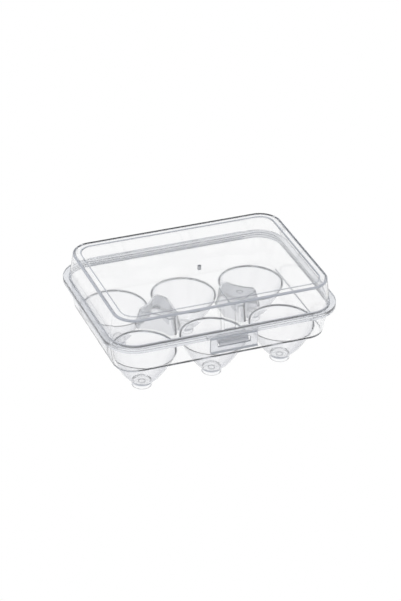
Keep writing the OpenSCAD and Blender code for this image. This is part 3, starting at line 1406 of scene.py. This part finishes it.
@dataclass
class Hasp:
    """The hasp: a flat frame with a window, a bead that it turns on and a lip for a fingertip."""

    width: float = 34.0
    in_y: float = -63.55
    thick: float = 1.5
    low_z: float = 40.2
    top_z: float = 51.0
    top_slope: float = 0.2
    edge_round: float = 0.2
    bar_h: float = 4.2
    window_w: float = 24.0
    window_h: float = 4.4
    window_round: float = 0.8
    window_steps: int = 4
    pull: float = 1.4
    bead_r: float = 0.5
    bead_short: float = 0.02
    flat_t: float = 0.12  # how near to its flat sides a face counts as part of them

    NODES = ("hasp_bead", "hasp_frame", "hasp_pull")

    def window(self, out_y: float) -> bpy.types.Object:
        """Makes the window that drops over the catch.

        Args:
            out_y: Where the hasp's outer side lies.

        Returns:
            The window, as a solid to cut.
        """
        low, half = self.low_z + self.bar_h, self.window_w / 2
        high = low + self.window_h
        corners = [(-half, low), (half, low), (half, high), (-half, high)]
        sides = rounded_section(corners, self.window_round, self.window_steps)
        depths = (out_y - CUTTER_OVER, self.in_y + CUTTER_OVER / 2)
        rings = [[Vector((x, y, z)) for x, z in sides] for y in depths]
        return mesh_piece("window", lambda bm: skin_rings(bm, rings))

    def build(self, finishes: Sequence[bpy.types.Material]) -> bpy.types.Object:
        """Makes the whole hasp.

        Args:
            finishes: Materials in the order of Finish.

        Returns:
            The hasp, riding on its body.
        """
        out_y = self.in_y - self.thick
        section = [
            (self.in_y, self.low_z),
            (self.in_y, self.top_z),
            (out_y, self.top_z - self.top_slope),
            (out_y, self.low_z + self.pull),
            (out_y - self.pull, self.low_z),
        ]
        frame = rounded_section(section, self.edge_round)
        hasp = bar_along_x("hasp_moulding", frame, self.width)
        circle = round_section(self.in_y, self.top_z, self.bead_r)
        bead = bar_along_x("bead", circle, self.width - self.bead_short)
        combine(hasp, [bead], "UNION")
        combine(hasp, [self.window(out_y)], "DIFFERENCE")
        smooth_skin(hasp)
        dress(hasp, finishes, self.finish_at)
        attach(hasp, "hasp")
        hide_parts(*self.NODES)
        return hasp

    def finish_at(self, p: Vector) -> Finish:
        """Picks the finish of the hasp at one place.

        Args:
            p: A face's middle in millimetres.

        Returns:
            The face's finish: painted grey shade round the frame and its window, paler on its flat
            sides.
        """
        from_middle = abs(p.y - self.in_y + self.thick / 2)
        flat = abs(from_middle - self.thick / 2) < self.flat_t
        # painted shade: the frame's edges and the window's sides are painted grey
        return Finish.BAND if flat else Finish.EDGE


@dataclass
class Studio:
    """A white light table under a dim soft dome, so that clear edges draw themselves in grey."""

    floor_m: float = 14.0
    floor_low_m: float = 0.0002  # how far the table lies under the feet
    floor_light: float = 1.0
    bright_m: float = 0.75  # the table is at its brightest up to here
    dim_m: float = 1.6
    dim_light: float = 0.85
    dome_low: str = "#d2d4d9"
    dome_high: str = "#f6f7f8"
    low_to: float = 0.10  # height over the horizon where the dome starts to change, 1 is overhead
    high_from: float = 0.50
    lamp_w: float = 3.0
    lamp_m: float = 0.9
    lamp_at: tuple[float, float, float] = (-0.9, 0.3, 1.3)
    lamp_tilt_deg: float = -35.0

    def floor(self) -> None:
        """Makes the light table, one flat sheet that glows evenly and dims far from the box."""
        mat = bpy.data.materials.new("opal_acrylic_light_table")
        tree = empty_tree(mat)
        place = add_node(tree, "ShaderNodeTexCoord").outputs["Object"]
        away = add_node(
            tree, "ShaderNodeVectorMath", settings={"operation": "LENGTH"}, links={0: place}
        )
        light = add_node(
            tree,
            "ShaderNodeMapRange",
            values={
                "From Min": self.bright_m,
                "From Max": self.dim_m,
                "To Min": self.floor_light,
                "To Max": self.dim_light,
            },
            links={"Value": away.outputs["Value"]},
        )
        glow = add_node(
            tree,
            "ShaderNodeEmission",
            values={"Color": linear("#ffffff")},
            links={"Strength": light.outputs["Result"]},
        )
        add_node(tree, "ShaderNodeOutputMaterial", links={"Surface": glow.outputs[0]})
        bm = bmesh.new()
        bmesh.ops.create_grid(bm, x_segments=1, y_segments=1, size=self.floor_m / 2)
        mesh = bpy.data.meshes.new("light_table")
        bm.to_mesh(mesh)
        bm.free()
        mesh.transform(Matrix.Translation((0, 0, -self.floor_low_m)))
        mesh.materials.append(mat)
        table = add_object("light_table", mesh)

    def dome(self) -> None:
        """Makes the world: a dome that is greyer at the horizon and nearly white overhead."""
        world = bpy.data.worlds.new("studio_dome")
        bpy.context.scene.world = world
        tree = empty_tree(world)
        way = add_node(tree, "ShaderNodeTexCoord").outputs["Generated"]
        parts = add_node(tree, "ShaderNodeSeparateXYZ", links={0: way})
        height = add_node(
            tree,
            "ShaderNodeMapRange",
            values={"From Min": self.low_to, "From Max": self.high_from},
            links={"Value": parts.outputs["Z"]},
        )
        shade = add_node(
            tree,
            "ShaderNodeMix",
            settings={"data_type": "RGBA"},
            values={6: linear(self.dome_low), 7: linear(self.dome_high)},
            links={0: height.outputs["Result"]},
        )
        sky = add_node(tree, "ShaderNodeBackground", links={"Color": shade.outputs[2]})
        add_node(tree, "ShaderNodeOutputWorld", links={"Surface": sky.outputs[0]})

    def softbox(self) -> None:
        """Hangs a soft lamp over the left, for a gentle sheen on rounded edges."""
        lamp = bpy.data.lights.new("softbox", "AREA")
        lamp.energy = self.lamp_w
        lamp.size = self.lamp_m
        tilt = Matrix.Rotation(math.radians(self.lamp_tilt_deg), 4, "Y")
        add_object("softbox", lamp).matrix_world = Matrix.Translation(self.lamp_at) @ tilt


@dataclass
class Camera:
    """The photograph's view, worked out from the box's edges and the cups' mouths."""

    spot_mm: tuple[float, float, float] = (-532.069, -1265.606 + FRAME_SHIFT_Y, 893.652)
    right: tuple[float, float, float] = (0.92791943, -0.37163077, 0.02925929)
    up: tuple[float, float, float] = (0.17319689, 0.49929217, 0.8489465)
    forward: tuple[float, float, float] = (0.33010357, 0.78268633, -0.5276682)
    focal_px: float = 2329.41
    width_px: float = 401.0

    def place(self) -> None:
        """Makes the camera and hands it to the scene."""
        data = bpy.data.cameras.new("camera")
        data.sensor_fit = "HORIZONTAL"
        data.sensor_width = 36.0
        data.lens = self.focal_px * data.sensor_width / self.width_px
        data.clip_start = 0.01
        data.clip_end = 100.0
        cam = add_object("camera", data)
        turn = Matrix((self.right, self.up, [-v for v in self.forward])).transposed()
        cam.matrix_world = Matrix.Translation(Vector(self.spot_mm) * MM) @ turn.to_4x4()
        bpy.context.scene.camera = cam


def main() -> None:
    """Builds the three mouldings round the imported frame, then the stage."""
    logging.basicConfig(level=logging.INFO, format="%(name)s: %(message)s")
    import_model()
    Camera().place()
    finishes = [look.build() for look in (THIN_WALL, CURVED_WALL, THICK_BAND, GREY_LINE_PAINTED_SHADE, PALE_LINE_PAINTED_LIGHT)]
    repeater = Repeater()
    box = Box()
    for piece in (
        Tray(box).build(repeater, finishes),
        Lid(box).build(repeater, finishes),
        Hasp().build(finishes),
    ):
        LOG.info("%s: %d faces", piece.name, len(piece.data.polygons))
    studio = Studio()
    studio.floor()
    studio.dome()
    studio.softbox()
    bpy.context.scene.view_settings.view_transform = "Standard"


if __name__ == "__main__":
    main()
